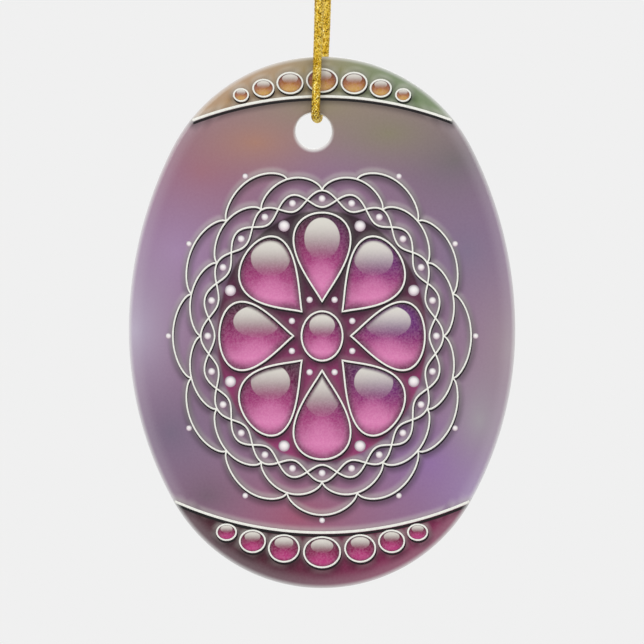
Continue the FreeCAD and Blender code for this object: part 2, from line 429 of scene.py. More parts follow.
def braid_strands(travelled, squeeze=1.0):
    """The ribbons' places in the braid. Each passes over the ones of the other way, then under."""
    turned = 2 * math.pi * travelled / TURN_LENGTH
    width = np.full(len(travelled), RIBBON_WIDTH * squeeze)
    thickness = np.full(len(travelled), RIBBON_THICKNESS)
    strands = []
    for way in (1, -1):
        wave = way * BRAID_WAVE * np.cos(RIBBONS_EACH_WAY * turned)
        radius = (BRAID_RADIUS + wave) * squeeze
        slope = way * math.atan2(2 * math.pi * BRAID_RADIUS, TURN_LENGTH)
        for number in range(RIBBONS_EACH_WAY):
            angle = 2 * math.pi * number / RIBBONS_EACH_WAY + way * turned
            strands.append((angle, radius, slope, width, thickness, RIBBON_SIDES))
    return strands


def yarn_strands(travelled, squeeze=1.0):
    """The plies' places in the yarn."""
    radius = np.full(len(travelled), PLY_OFFSET * squeeze)
    size = np.full(len(travelled), 2 * PLY_RADIUS * squeeze)
    slope = math.atan2(2 * math.pi * PLY_OFFSET, PLY_TURN_LENGTH)
    strands = []
    for number in range(PLIES):
        angle = 2 * math.pi * (number / PLIES + travelled / PLY_TURN_LENGTH)
        strands.append((angle, radius, slope, size, size, PLY_SIDES))
    return strands


# A ribbon's tone comes from fine flakes and, for the rest, from its own random number
FLAKE_SCALE = 4600.0
FLAKE_SPREAD = 3.7
FLAKE_SHARE = 0.75
GOLD_TONES = (
    (0.0, linear(72, 44, 4)),
    (0.2, linear(182, 136, 26)),
    (0.5, linear(232, 196, 62)),
    (0.78, linear(250, 228, 124)),
    (1.0, linear(255, 250, 215)),
)
FIBRE_SCALE = 5200.0
YARN_TONES = ((0.3, linear(88, 60, 14)), (0.7, linear(150, 112, 40)))


def gold_material():
    """Flat gold foil ribbons: yellow gold with pale glints and brown flecks."""
    shader = Shader("gold_braid")
    inputs = {"Vector": shader.coordinates(), "Scale": FLAKE_SCALE}
    flakes = shader.node("ShaderNodeTexVoronoi", inputs, feature="F1")
    flake = shader.math("FRACT", shader.times(flakes.outputs["Color"], FLAKE_SPREAD))
    of_flake = shader.times(flake, FLAKE_SHARE)
    of_ribbon = shader.times(shader.attribute("ribbon"), 1 - FLAKE_SHARE)
    tone = shader.math("ADD", of_flake, of_ribbon)
    shader.set(Base_Color=shader.ramp(tone, GOLD_TONES), Metallic=1.0, Roughness=0.3)
    shader.bump(flake, distance=0.05 * MM, strength=0.8)
    return shader.material


def yarn_material():
    shader = Shader("yarn_core")
    fibres = shader.noise(FIBRE_SCALE, detail=3.0)
    shader.set(Base_Color=shader.ramp(fibres, YARN_TONES), Roughness=0.85)
    shader.bump(fibres, distance=0.03 * MM)
    return shader.material


# The knot: both strands of the loop pass up through its middle, wind round it and pass up again.
# They run KNOT_CORE from its axis inside and KNOT_WRAP outside, where a turn sinks by WRAP_SINK.
KNOT_X = 0.15
KNOT_Z = 5.7
KNOT_SQUEEZE = 0.88
KNOT_CORE = 0.86
KNOT_WRAP = 1.95
WRAP_SINK = 2.3
WRAP_STEPS = 12
# The cut ends: the length that opens, how far a ribbon spreads outwards, and by what angle it strays
FRAY_LENGTH = 1.3
FRAY_REACH = (0.1, 0.8)
FRAY_STRAY = 0.4


def round_knot(radius, degrees, height):
    """A place from the knot's axis and middle."""
    angle = math.radians(degrees)
    return (KNOT_X + radius * math.cos(angle), radius * math.sin(angle), KNOT_Z + height)


def knot_wrap(start_degrees, start_height, turns):
    """Points of a strand that winds round the knot's middle and sinks as it goes."""
    shares = [step / WRAP_STEPS for step in range(round(turns * WRAP_STEPS) + 1)]
    return [round_knot(KNOT_WRAP, start_degrees + 360 * s, start_height - WRAP_SINK * s) for s in shares]


# Each strand's route from where the modelled cord ends: into the knot, round it, and out as a tail
KNOT_ROUTES = (
    (
        CORD_ROUTE[0],
        round_knot(KNOT_CORE, -135, -0.9),
        round_knot(KNOT_CORE, -140, 0.2),
        *knot_wrap(-125, 0.65, 1.0),
        round_knot(1.5, 262, -2.25),
        round_knot(KNOT_CORE, 315, -1.6),
        round_knot(KNOT_CORE, 315, 0.0),
        round_knot(KNOT_CORE, 318, 1.9),
        (1.25, -0.75, 9.6),
        (1.75, -0.55, 11.2),
        (2.6, 0.45, 13.6),
    ),
    (
        CORD_ROUTE[-1],
        round_knot(KNOT_CORE, 45, -0.9),
        round_knot(KNOT_CORE, 45, 1.3),
        round_knot(0.25, 80, 2.35),
        round_knot(1.35, -150, 2.45),
        *knot_wrap(-112, 1.85, 1.25),
        round_knot(1.5, 372, -2.3),
        round_knot(KNOT_CORE, 470, -1.7),
        round_knot(KNOT_CORE, 495, 0.0),
        round_knot(KNOT_CORE, 498, 1.9),
        (-1.0, 0.75, 9.7),
        (-1.35, 0.5, 11.4),
        (-2.35, -0.35, 13.7),
    ),
)


def fray(strands, travelled):
    """Opens the last stretch of a cut end, each ribbon by a little more or less than the next."""
    spread = np.clip((travelled - travelled[-1] + FRAY_LENGTH) / FRAY_LENGTH, 0, 1) ** 2
    opened = []
    for angle, radius, slope, width, thickness, sides in strands:
        outwards = spread * random.uniform(*FRAY_REACH)
        sideways = spread * random.uniform(-FRAY_STRAY, FRAY_STRAY)
        opened.append((angle + sideways, radius + outwards, slope, width, thickness, sides))
    return opened


def joined_piece(name, parts, material):
    """One piece out of the rods round one line or more. Each rod has a random number of its own."""
    vertices, faces, owner, strands = [], [], [], 0
    for part_vertices, part_faces, part_owner in parts:
        start = len(owner)
        vertices.append(part_vertices)
        faces += [tuple(corner + start for corner in face) for face in part_faces]
        owner += [number + strands for number in part_owner]
        strands = max(owner) + 1
    piece = new_piece(name, np.concatenate(vertices) * MM, faces, material, "cord")
    shares = np.array([random.random() for _ in range(strands)])
    store(piece, "ribbon", shares[owner])
    return piece


def make_knot(gold, yarn):
    """The knot with its two tails, and the yarn inside them."""
    sheaths, cores = [], []
    for route in KNOT_ROUTES:
        line, travelled = along_spline(route, BRAID_STEP)
        ribbons = fray(braid_strands(travelled, KNOT_SQUEEZE), travelled)
        sheaths.append(rods(line, ribbons))
        cores.append(rods(line, yarn_strands(travelled, KNOT_SQUEEZE)))
    knot = joined_piece("overhand_knot", sheaths, gold)
    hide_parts("cord_knot", "cord_tails")
    return knot, joined_piece("knot_yarn", cores, yarn)


def make_cord():
    gold, yarn = gold_material(), yarn_material()
    line, travelled = along_spline(CORD_ROUTE, BRAID_STEP)
    braid = rods(line, braid_strands(travelled))
    cord = joined_piece("hanging_cord", [braid], gold)
    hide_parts("cord_sheath")

    vertices, faces, _ = rods(line, yarn_strands(travelled))
    core = new_piece("cord_yarn", vertices * MM, faces, yarn, "cord")
    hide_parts("cord_core")

    knot, knot_yarn = make_knot(gold, yarn)


def porcelain_material():
    """White glazed porcelain, with the slight ripple that a fired glaze has."""
    shader = Shader("white_glaze")
    tint = shader.mix(shader.noise(60.0, detail=3.0), GLAZE_WHITE, GLAZE_SHADE)
    roughness = shader.smooth(shader.noise(240.0), 0.3, 0.7, start=0.1, end=0.2)
    shader.set(Base_Color=tint, Roughness=roughness, IOR=1.5)
    shader.bump(shader.noise(420.0), distance=0.02 * MM, strength=0.35)
    return shader.material


# The print. Places on it are x and z from the middle of the plate's widest line.
OUTLINE_POINTS = 480
RIM_NORMALS = circle(OUTLINE_POINTS)
# The print's hole is fired on a little lower than the drilled one, so more bare glaze shows below it
PRINT_HOLE_SHIFT = np.array((0.0, -0.25))
# The coat ends this far from an edge, thins out over the taper, and its own edge is tucked in
PRINT_EDGE = 0.03
COAT_TAPER = 0.07
TUCK = 0.03
# The sine of the steepest slope that the coat follows over a rounded edge
STEEPEST = 0.985


def end_arc(height, side_radius):
    """The end arc that meets both side arcs smoothly: its radius, and the angle at which they meet."""
    spare = 2 * HALF_WIDTH * side_radius - HALF_WIDTH**2 - height**2
    radius = spare / (2 * (side_radius - height))
    return radius, math.atan2(height - radius, side_radius - HALF_WIDTH)


def outline_arcs():
    """The outline as arcs, each as the angle where it starts, its middle and its radius."""
    arcs = []
    for start, way, height, side_radius in (
        (0, 1, CROWN_HEIGHT, UPPER_SIDE_RADIUS),
        (math.pi, -1, FOOT_HEIGHT, LOWER_SIDE_RADIUS),
    ):
        radius, meets = end_arc(height, side_radius)
        side = way * (HALF_WIDTH - side_radius)
        arcs.append((start, (side, 0), side_radius))
        arcs.append((start + meets, (0, way * (height - radius)), radius))
        arcs.append((start + math.pi - meets, (-side, 0), side_radius))
    return arcs


def outline(inset):
    """Points of the plate's outline, moved inwards by an inset."""
    arcs = outline_arcs()
    starts = [arc[0] for arc in arcs]
    which = np.searchsorted(starts, full_turn(OUTLINE_POINTS), side="right") - 1
    middles = np.array([arcs[w][1] for w in which], float)
    radii = np.array([arcs[w][2] for w in which])
    return middles + RIM_NORMALS * (radii - inset)[:, None]


RIM = outline(0)


def rim_place(flat):
    """How far inside the plate's outline each place is, and the way to the nearest part of it."""
    reach = (RIM * RIM_NORMALS).sum(axis=1)
    gaps = reach[None] - flat @ RIM_NORMALS.T
    return gaps.min(axis=1), RIM_NORMALS[gaps.argmin(axis=1)]


def rim_depth(flat):
    return rim_place(flat)[0]


def hole_distance(flat):
    return np.linalg.norm(flat - HOLE, axis=1) - HOLE_RADIUS


def smoothstep(value, low, high):
    share = np.clip((value - low) / (high - low), 0, 1)
    return share * share * (3 - 2 * share)


def lean(distance, radius):
    """The sine of a rounded edge's slope at a distance from where the edge ends."""
    return np.clip((radius - distance) / radius, 0, STEEPEST)


def fall(sine, radius):
    """How far a rounded edge has fallen where its slope has this sine."""
    return radius * (1 - np.sqrt(1 - sine**2))


def on_plate(flat, rise):
    """Places in the frame at a rise above the print, which follows the plate's rounded edges."""
    rim, outwards = rim_place(flat)
    flat = flat + outwards * np.minimum(rim - PRINT_EDGE, 0)[:, None]
    rim = np.maximum(rim, PRINT_EDGE)
    bore = hole_distance(flat)
    inwards = (HOLE - flat) / (bore + HOLE_RADIUS)[:, None]
    at_rim, at_bore = lean(rim, EDGE_ROUNDING), lean(bore, HOLE_ROUNDING)
    glaze = FACE - fall(at_rim, EDGE_ROUNDING) - fall(at_bore, HOLE_ROUNDING)
    sideways = outwards * at_rim[:, None] + inwards * at_bore[:, None]
    ahead = np.sqrt(1 - (sideways**2).sum(axis=1))
    whole = smoothstep(rim, PRINT_EDGE, PRINT_EDGE + COAT_TAPER)
    whole = whole * smoothstep(bore, PRINT_EDGE, PRINT_EDGE + COAT_TAPER)
    thickness = COAT * whole - TUCK * (1 - whole) + rise
    moved = flat + sideways * thickness[:, None]
    return [place(x, z, y) for (x, z), y in zip(moved, glaze + ahead * thickness)]


def turns_right(corners):
    x, z = corners[:, 0], corners[:, 1]
    return (x * np.roll(z, -1) - z * np.roll(x, -1)).sum() < 0


class Layer:
    """Thin surfaces that lie on the print, collected into one piece."""

    def __init__(self):
        self.flat, self.rise, self.paint, self.faces, self.count = [], [], [], [], 0

    def add(self, flat, rise, paint, faces):
        self.flat.append(flat)
        self.rise.append(np.broadcast_to(rise, len(flat)))
        self.paint.append(np.broadcast_to(paint, (len(flat), 3)))
        self.faces += [tuple(corner + self.count for corner in face) for face in faces]
        self.count += len(flat)

    def add_grid(self, flat, rise, paint, closed=False):
        """Rows of points, each joined to the next, and the last to the first if closed."""
        rows, columns = flat.shape[:2]
        faces = []
        for row in range(rows if closed else rows - 1):
            after = (row + 1) % rows
            for column in range(columns - 1):
                a, b = row * columns + column, after * columns + column
                faces.append((a, b, b + 1, a + 1))
        points = flat.reshape(-1, 2)
        if turns_right(points[list(faces[0])]):
            faces = [face[::-1] for face in faces]
        rises = np.broadcast_to(rise, (rows, columns)).ravel()
        self.add(points, rises, np.broadcast_to(paint, (rows, columns, 3)).reshape(-1, 3), faces)

    def piece(self, name, material):
        """The finished piece. Its points know their paint and how far they are from rim and hole."""
        flat, rise, paint = (np.concatenate(part) for part in (self.flat, self.rise, self.paint))
        made = new_piece(name, on_plate(flat, rise), self.faces, material, "ornament")
        store(made, "paint", paint)
        store(made, "rim", rim_depth(flat))
        store(made, "bore", hole_distance(flat - PRINT_HOLE_SHIFT))
        return made


# The coat's net of triangles, and the rings that lead to it from rim and hole
GRID_STEP = 0.3
EDGE_INSETS = (0.03, 0.06, 0.1, 0.15, 0.22, 0.3, 0.4, 0.52, 0.66, 0.8, 0.95, 1.3, 2.2, 3.4)
HOLE_INSETS = (0.03, 0.06, 0.1, 0.15, 0.22, 0.3, 0.4, 0.52, 0.8, 1.3, 2.0)
HOLE_POINTS = 96
# What the triangulation is asked for, where it merges points, and a small slack
TRIANGLES_INSIDE = 1
MERGE_DISTANCE = 1e-5
SLACK = 0.01

# The painted soft shade and the painted soft glow beside each line: their shift from it, reach and
# strength
LINE_SHADE = ((0.1, -0.45), 1.4, 0.6)
LINE_GLOW = ((0.0, 0.3), 1.0, 0.3)


def distances(flat, targets):
    """How far each place is from the nearest of the targets."""
    tree = KDTree(len(targets))
    for number, (x, z) in enumerate(targets):
        tree.insert((x, z, 0), number)
    tree.balance()
    return np.array([tree.find((x, z, 0))[2] for x, z in flat])


def soft_paint(flat, traces):
    """Painted soft shade below the lines and a painted soft glow above them, as amounts from 0 to 1."""
    paint = np.zeros((len(flat), 3))
    for channel, (shift, reach, strength) in enumerate((LINE_SHADE, LINE_GLOW)):
        far = distances(flat, traces + np.array(shift))
        paint[:, channel] = strength * (1 - smoothstep(far, 0, reach))
    return paint


def hole_rings():
    """Rows of points out from the hole."""
    spokes = circle(HOLE_POINTS)
    return np.stack([HOLE + spokes * (HOLE_RADIUS + inset) for inset in HOLE_INSETS], axis=1)


def ring_edges(first, count):
    return [(first + i, first + (i + 1) % count) for i in range(count)]


def net_between(outer, inner):
    """Places and triangles of a plain net inside one ring of points and outside another."""
    steps_x = np.arange(-HALF_WIDTH, HALF_WIDTH, GRID_STEP)
    steps_z = np.arange(-FOOT_HEIGHT, CROWN_HEIGHT, GRID_STEP)
    net = np.array([(x, z) for z in steps_z for x in steps_x])
    off_outer = rim_depth(net) > EDGE_INSETS[-1] + GRID_STEP / 2
    off_inner = hole_distance(net) > HOLE_INSETS[-1] + GRID_STEP / 2
    points = np.concatenate([outer, inner, net[off_outer & off_inner]])
    edges = ring_edges(0, len(outer)) + ring_edges(len(outer), len(inner))
    vectors = [Vector(point) for point in points]
    found = delaunay_2d_cdt(vectors, edges, [], TRIANGLES_INSIDE, MERGE_DISTANCE)
    flat = np.array([tuple(v) for v in found[0]])
    inner_radius = HOLE_RADIUS + HOLE_INSETS[-1]
    faces = []
    for face in found[2]:
        corners = flat[list(face)]
        if np.linalg.norm(corners.mean(axis=0) - HOLE) > inner_radius - SLACK:
            faces.append(tuple(face[::-1]) if turns_right(corners) else tuple(face))
    return flat, faces


def make_coat(material, traces):
    """The coat itself: rings that follow the rim and the hole, and a plain net between them."""
    layer = Layer()
    outer_rings = np.stack([outline(inset) for inset in EDGE_INSETS], axis=1)
    inner_rings = hole_rings()
    for rings in (outer_rings, inner_rings):
        layer.add_grid(rings, 0, 0, closed=True)
    flat, faces = net_between(outer_rings[:, -1], inner_rings[:, -1])
    layer.add(flat, 0, 0, faces)
    layer.paint = [soft_paint(np.concatenate(layer.flat), traces)]
    coat = layer.piece("printed_coat", material)
    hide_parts("front_print")


# Soft colours of the field: place, reach both ways, strength and colour
FIELD_GROUND = linear(138, 106, 134)
FIELD = (
    ((-20.0, 26.0), (24.0, 18.0), 0.85, linear(152, 98, 108)),
    ((22.0, 28.0), (24.0, 18.0), 0.85, linear(102, 98, 98)),
    ((-24.0, 13.0), (20.0, 20.0), 0.9, linear(158, 128, 164)),
    ((24.0, 13.0), (20.0, 20.0), 0.9, linear(120, 106, 132)),
    ((-31.0, 0.0), (14.0, 22.0), 0.9, linear(174, 162, 184)),
    ((31.0, -3.0), (14.0, 24.0), 0.85, linear(154, 138, 146)),
    ((-25.0, -17.0), (18.0, 18.0), 0.85, linear(108, 96, 118)),
    ((18.0, -22.0), (24.0, 18.0), 0.85, linear(138, 102, 156)),
    ((-4.0, -31.0), (28.0, 15.0), 0.95, linear(152, 78, 104)),
    ((27.0, -28.0), (14.0, 14.0), 0.75, linear(158, 138, 182)),
    ((0.0, 37.0), (44.0, 15.0), 0.9, linear(142, 132, 102)),
    ((-11.0, 31.0), (18.0, 9.0), 0.75, linear(168, 122, 98)),
    ((11.0, 32.5), (18.0, 9.0), 0.75, linear(128, 124, 94)),
    ((26.0, -15.0), (10.0, 15.0), 0.7, linear(160, 158, 160)),
    ((-19.0, -27.5), (14.0, 10.0), 0.7, linear(98, 82, 94)),
)

# The two ends are set off by arcs. An end is the height of its arc's middle, the way to it, and its
# colours at the left and the right.
BAND_RADIUS = 60.0
BAND_SHARPNESS = 0.1
BAND_BLEND = 14.0
TOP_BAND = 38.6
FOOT_BAND = -33.5
BANDS = (
    (TOP_BAND, 1, linear(166, 132, 92), linear(98, 120, 72)),
    (FOOT_BAND, -1, linear(68, 16, 34), linear(122, 26, 74)),
)

# The rosette's middle, how much taller than wide it is, the dark ground behind it, and the painted
# shadow round it
ROSETTE = (0.0, -1.0)
ROSETTE_STRETCH = 1.2
ROSETTE_SHADOW_REACH = 27.0
ROSETTE_SHADOW_SHARE = 0.42
ROSETTE_SHADOW = linear(72, 22, 58)
MEDALLION_RADIUS = 17.9
MEDALLION_SHARE = 0.94
MEDALLION_FOOT = linear(140, 44, 98)
MEDALLION_TOP = linear(40, 8, 28)

# Laid over the print: a painted highlight towards the rim, fine grain, and the lines' painted glow and
# painted shade
RIM_HIGHLIGHT = linear(225, 222, 226)
GRAIN_PALE = linear(235, 225, 232)
GLOW = linear(236, 234, 226)
SHADE = linear(14, 12, 14)
GLOW_LOSS = 0.7


def band_amount(shader, height, side):
    """1 beyond the arc that sets off an end of the print. side is 1 for the top and -1 for the foot."""
    arc_middle = place(0, height - side * BAND_RADIUS, 0)
    away = shader.vector_math("SUBTRACT", shader.coordinates(), arc_middle)[0]
    flat = shader.vector_math("MULTIPLY", away, (1, 0, 1))[0]
    distance = shader.vector_math("LENGTH", flat)["Value"]
    low, high = BAND_RADIUS - BAND_SHARPNESS, BAND_RADIUS + BAND_SHARPNESS
    beyond = shader.smooth(distance, low * MM, high * MM)
    outwards = shader.times(shader.channels(away)[2], side)
    return shader.times(beyond, shader.math("GREATER_THAN", outwards, 0.0))


def field_colour(shader, across):
    """The soft field, with the two ends set off from it."""
    colour = FIELD_GROUND
    for (x, z), (reach_x, reach_z), strength, tint in FIELD:
        amount = shader.times(shader.blob(x, z, reach_x, reach_z), strength)
        colour = shader.mix(amount, colour, tint)
    to_right = shader.smooth(across, -BAND_BLEND * MM, BAND_BLEND * MM)
    for height, side, left, right in BANDS:
        tint = shader.mix(to_right, left, right)
        colour = shader.mix(band_amount(shader, height, side), colour, tint)
    return colour


def with_medallion(shader, colour, up):
    """The colour with the rosette's painted shadow and ground on it, and 1 where that ground is."""
    # A soft painted shadow round the rosette
    rosette_shadow = shader.blob(*ROSETTE, ROSETTE_SHADOW_REACH, ROSETTE_SHADOW_REACH * ROSETTE_STRETCH)
    colour = shader.mix(shader.smooth(rosette_shadow, 0.0, 0.2, end=ROSETTE_SHADOW_SHARE), colour, ROSETTE_SHADOW)
    low, high = place(0, -MEDALLION_RADIUS, 0)[2], place(0, MEDALLION_RADIUS, 0)[2]
    ground = shader.mix(shader.smooth(up, low, high), MEDALLION_FOOT, MEDALLION_TOP)
    medallion = shader.blob(*ROSETTE, MEDALLION_RADIUS, MEDALLION_RADIUS * ROSETTE_STRETCH)
    inside = shader.smooth(medallion, 0.0, 0.002)
    return shader.mix(shader.times(inside, MEDALLION_SHARE), colour, ground), inside


def coat_material():
    """The printed coat: soft colours, painted shade and painted glow on them, and bare glaze at its
    edges.
    """
    shader = Shader("printed_coat")
    across, _, up = shader.channels(shader.coordinates())
    colour, inside = with_medallion(shader, field_colour(shader, across), up)
    rim = shader.attribute("rim")
    # A painted highlight towards the rim
    colour = shader.mix(shader.smooth(rim, 0.6, 3.0, start=0.12, end=0.0), colour, RIM_HIGHLIGHT)
    grain = shader.smooth(shader.noise(2600.0), 0.25, 0.75, end=0.02)
    colour = shader.mix(grain, colour, GRAIN_PALE)
    # Painted shade below the lines and painted glow above them, less glow on the rosette's dark ground
    shade, glow, _ = shader.paint()
    kept = shader.math("MULTIPLY_ADD", inside, -GLOW_LOSS, 1.0)
    colour = shader.mix(shader.times(glow, kept), colour, GLOW)
    colour = shader.mix(shade, colour, SHADE)
    cover_at_hole = shader.smooth(shader.attribute("bore"), -0.3, 0.55)
    cover = shader.times(shader.smooth(rim, -0.35, 0.85), cover_at_hole)
    colour = shader.mix(cover, GLAZE_WHITE, colour)
    shader.set(Base_Color=colour, Roughness=0.2, Specular_IOR_Level=0.25)
    return shader.material


SILVER_TONES = ((0.25, linear(226, 225, 218)), (0.7, linear(240, 240, 232)))


def silver_material():
    """Raised silver-white ink."""
    shader = Shader("silver_ink")
    wear = shader.noise(1800.0, detail=3.0)
    shader.set(Base_Color=shader.ramp(wear, SILVER_TONES), Roughness=0.3, Specular_IOR_Level=0.4)
    return shader.material


# Line work. Each line is silver, with a crisp painted shadow below it as a dark edge. The lists go
# across a line.
LINE_WIDTH = 0.32
LACE_LINE = 0.3
BAND_LINE = 0.45
LINE_STEP = 0.35
LINE_SECTION = np.array((-1.0, -0.72, 0.0, 0.72, 1.0))
LINE_RISES = np.array((-0.01, 0.045, 0.06, 0.045, -0.01))
# How far off rim and hole an open line ends
LINE_INSET = 0.2
LINE_HOLE_GAP = 0.6
# The painted shadow below a line: its shift and width as shares of the line's width, its darkness, and
# its rise.
LINE_SHADOW_SHIFT = np.array((0.3, -1.1))
LINE_SHADOW_SHARE = 1.25
LINE_SHADOW_DARKNESS = np.array((0.0, 0.95, 1.0, 0.95, 0.0))
LINE_SHADOW_RISES = 0.006 + 0.02 * LINE_SHADOW_DARKNESS


def evenly(points, closed):
    """The same line with evenly spaced points."""
    points = np.asarray(points, float)
    if closed:
        points = np.concatenate([points, points[:1]])
    lengths = lengths_along(points)
    count = max(int(lengths[-1] / LINE_STEP), 3) + 1
    line = points_at(np.linspace(0, lengths[-1], count), lengths, points)
    return line[:-1] if closed else line


def line_sides(line, closed):
    """The direction across a line at each of its points."""
    if closed:
        ahead = np.roll(line, -1, axis=0) - np.roll(line, 1, axis=0)
    else:
        ahead = np.gradient(line, axis=0)
    ahead = ahead / np.linalg.norm(ahead, axis=1)[:, None]
    return np.stack([-ahead[:, 1], ahead[:, 0]], axis=1)


def add_strip(layer, line, closed, offsets, rises, ink):
    flat = line[:, None] + line_sides(line, closed)[:, None] * offsets[None, :, None]
    paint = np.zeros((*flat.shape[:2], 3))
    # The first paint number is painted shade: 0 for a silver line, and the darkness of the painted
    # shadow below a line
    paint[..., 0] = ink
    layer.add_grid(flat, rises, paint, closed)


class LineWork:
    """The silver lines and their painted shadows as dark edges below them, collected into two pieces,
    and the lines' traces.
    """

    def __init__(self):
        self.silver, self.edges, self.traces = Layer(), Layer(), []

    def draw(self, points, closed=False, width=LINE_WIDTH):
        line = evenly(points, closed)
        if not closed:
            inside = rim_depth(line) > LINE_INSET
            line = line[inside & (hole_distance(line) > LINE_HOLE_GAP)]
        offsets = LINE_SECTION * width / 2
        add_strip(self.silver, line, closed, offsets, LINE_RISES, 0)
        # The painted shadow below the line: a dark strip in the coat's material, shifted down from it
        edge = line + LINE_SHADOW_SHIFT * width
        add_strip(self.edges, edge, closed, offsets * LINE_SHADOW_SHARE, LINE_SHADOW_RISES, LINE_SHADOW_DARKNESS)
        self.traces.append(line)


def on_rosette(radius, degrees):
    """The place, or places, at a radius and an angle round the rosette's middle."""
    turn = np.radians(degrees)
    x = ROSETTE[0] + radius * np.cos(turn)
    z = ROSETTE[1] + radius * np.sin(turn) * ROSETTE_STRETCH
    return np.stack([x, z], axis=-1)


# Cabochons: glassy drops and beads. The rings are shares of the way from the top to the edge.
GEM_RINGS = np.array((1.0, 0.97, 0.92, 0.85, 0.75, 0.62, 0.48, 0.33, 0.17))
DOME_FALL = 2.4
DOME_ROUNDING = 0.8
GEM_SINK = 0.005


def add_gem(layer, edge, middle, height):
    """A dome over an outline. Its paint is its place across it, up it, and towards its edge."""
    edge, middle = np.asarray(edge), np.asarray(middle)
    flat = middle + (edge[:, None] - middle) * GEM_RINGS[None, :, None]
    centre = (edge.max(axis=0) + edge.min(axis=0)) / 2
    paint = np.zeros((*flat.shape[:2], 3))
    paint[..., 0:2] = (flat - centre) / np.abs(edge - centre).max(axis=0)
    paint[..., 2] = GEM_RINGS[None]
    rises = height * (1 - GEM_RINGS**DOME_FALL) ** DOME_ROUNDING - GEM_SINK
    first = layer.count
    layer.add_grid(flat, rises, paint, closed=True)
    rings = len(GEM_RINGS)
    top = [first + number * rings + rings - 1 for number in range(len(edge))]
    layer.faces.append(tuple(top[::-1] if turns_right(edge) else top))


def oval(x, z, half_width, half_height, count=48):
    return np.array((x, z)) + circle(count) * np.array((half_width, half_height))


# The shapes of a drop's tip and of its body
DROP_TAPER = 1.3
DROP_FULLNESS = 1.25


def drop(inner, outer, half_width, degrees, count=72):
    """A drop in the rosette, with its tip towards the middle."""
    turn = full_turn(count)
    along = inner + (outer - inner) * (1 - np.cos(turn)) / 2
    tapered = np.sin(turn) * np.abs(np.sin(turn / 2)) ** DROP_TAPER
    across = half_width * tapered * DROP_FULLNESS
    angle = math.radians(degrees)
    x = along * math.cos(angle) - across * math.sin(angle)
    z = along * math.sin(angle) + across * math.cos(angle)
    return np.stack([ROSETTE[0] + x, ROSETTE[1] + z * ROSETTE_STRETCH], axis=1)


# Glass, from its darkest colour to its brightest. The darker ones are its painted shade, the brightest
# its painted glow.
ROSE = (linear(34, 6, 18), linear(104, 16, 70), linear(160, 54, 116), linear(212, 122, 172))
ROSE_AT_RIGHT = linear(84, 22, 108)
AMBER = (linear(54, 28, 12), linear(118, 64, 26), linear(162, 104, 46), linear(194, 152, 76))
RUBY = (linear(46, 4, 22), linear(96, 10, 48), linear(134, 20, 78), linear(176, 50, 116))
GLASS_GRAIN = linear(245, 200, 225)
REFLECTION = linear(224, 221, 212)
# The reflection's middle, and how fast it ends sideways and upwards
REFLECTION_HEIGHT = 0.42
SIDE_FALL = 2.6
UP_FALL = 4.6
# Pearls: pale in the middle, with painted shade towards the edge and painted shade low down
PEARL_PAINTED_SHADING = ((0.0, linear(252, 250, 246)), (0.6, linear(226, 220, 222)), (1.0, linear(120, 104, 118)))
PEARL_SHADE = linear(196, 160, 178)


def glass_colour(shader, tones, sides, up, edge, at_right):
    """Painted light on the glass: a painted glow low down, painted shade above, at the sides and at the
    edge, and a fine grain.
    """
    dark, deep, middle, bright = tones
    height = shader.math("MULTIPLY_ADD", up, 0.5, 0.5)
    stops = ((0.0, middle), (0.18, bright), (0.44, middle), (0.68, deep), (0.92, dark))
    colour = shader.ramp(height, stops)
    if at_right:
        x = shader.channels(shader.coordinates())[0]
        to_right = shader.smooth(x, -4 * MM, 18 * MM)
        amount = shader.times(to_right, shader.smooth(height, 0.2, 0.75))
        colour = shader.mix(amount, colour, at_right)
    colour = shader.mix(shader.times(sides, 0.45), colour, deep)
    colour = shader.mix(shader.smooth(edge, 0.72, 1.0, end=0.75), colour, dark)
    low = shader.math("ADD", sides, shader.math("POWER", shader.math("ADD", up, 0.5), 2.0))
    colour = shader.mix(shader.smooth(low, 0.0, 0.36, start=0.45, end=0.0), colour, bright)
    grain = shader.noise(3400.0, detail=3.0, roughness=0.7)
    return shader.mix(shader.smooth(grain, 0.3, 0.75, end=0.14), colour, GLASS_GRAIN)


def glass_reflection(shader, sides, up, edge):
    """How much the pale reflection shows: an oval in the upper half that fades downwards."""
    wide = shader.times(sides, SIDE_FALL)
    above = shader.math("POWER", shader.math("SUBTRACT", up, REFLECTION_HEIGHT), 2.0)
    high = shader.times(above, UP_FALL)
    amount = shader.smooth(shader.math("ADD", wide, high), 0.94, 1.06, start=1.0, end=0.0)
    amount = shader.times(amount, shader.smooth(up, -0.05, 0.85, start=0.04, end=0.9))
    return shader.times(amount, shader.smooth(edge, 0.8, 0.93, start=1.0, end=0.0))


def gem_material(name, tones, at_right=None):
    """Coloured glass over the print, with painted light, painted shade and a painted reflection in its
    colour. at_right tints its darker parts towards the right.
    """
    shader = Shader(name)
    across, up, edge = shader.paint()
    sides = shader.times(across, across)
    colour = glass_colour(shader, tones, sides, up, edge, at_right)
    colour = shader.mix(glass_reflection(shader, sides, up, edge), colour, REFLECTION)
    shader.set(Base_Color=colour, Roughness=0.15, Specular_IOR_Level=0.2)
    return shader.material


def pearl_material():
    shader = Shader("pearl_ink")
    _, up, edge = shader.paint()
    # Painted light: painted shade low down and towards the edge, pale in the middle
    low = shader.smooth(up, -0.9, 0.3, start=0.4, end=0.0)
    colour = shader.mix(low, shader.ramp(edge, PEARL_PAINTED_SHADING), PEARL_SHADE)
    shader.set(Base_Color=colour, Roughness=0.18, IOR=1.45)
    return shader.material


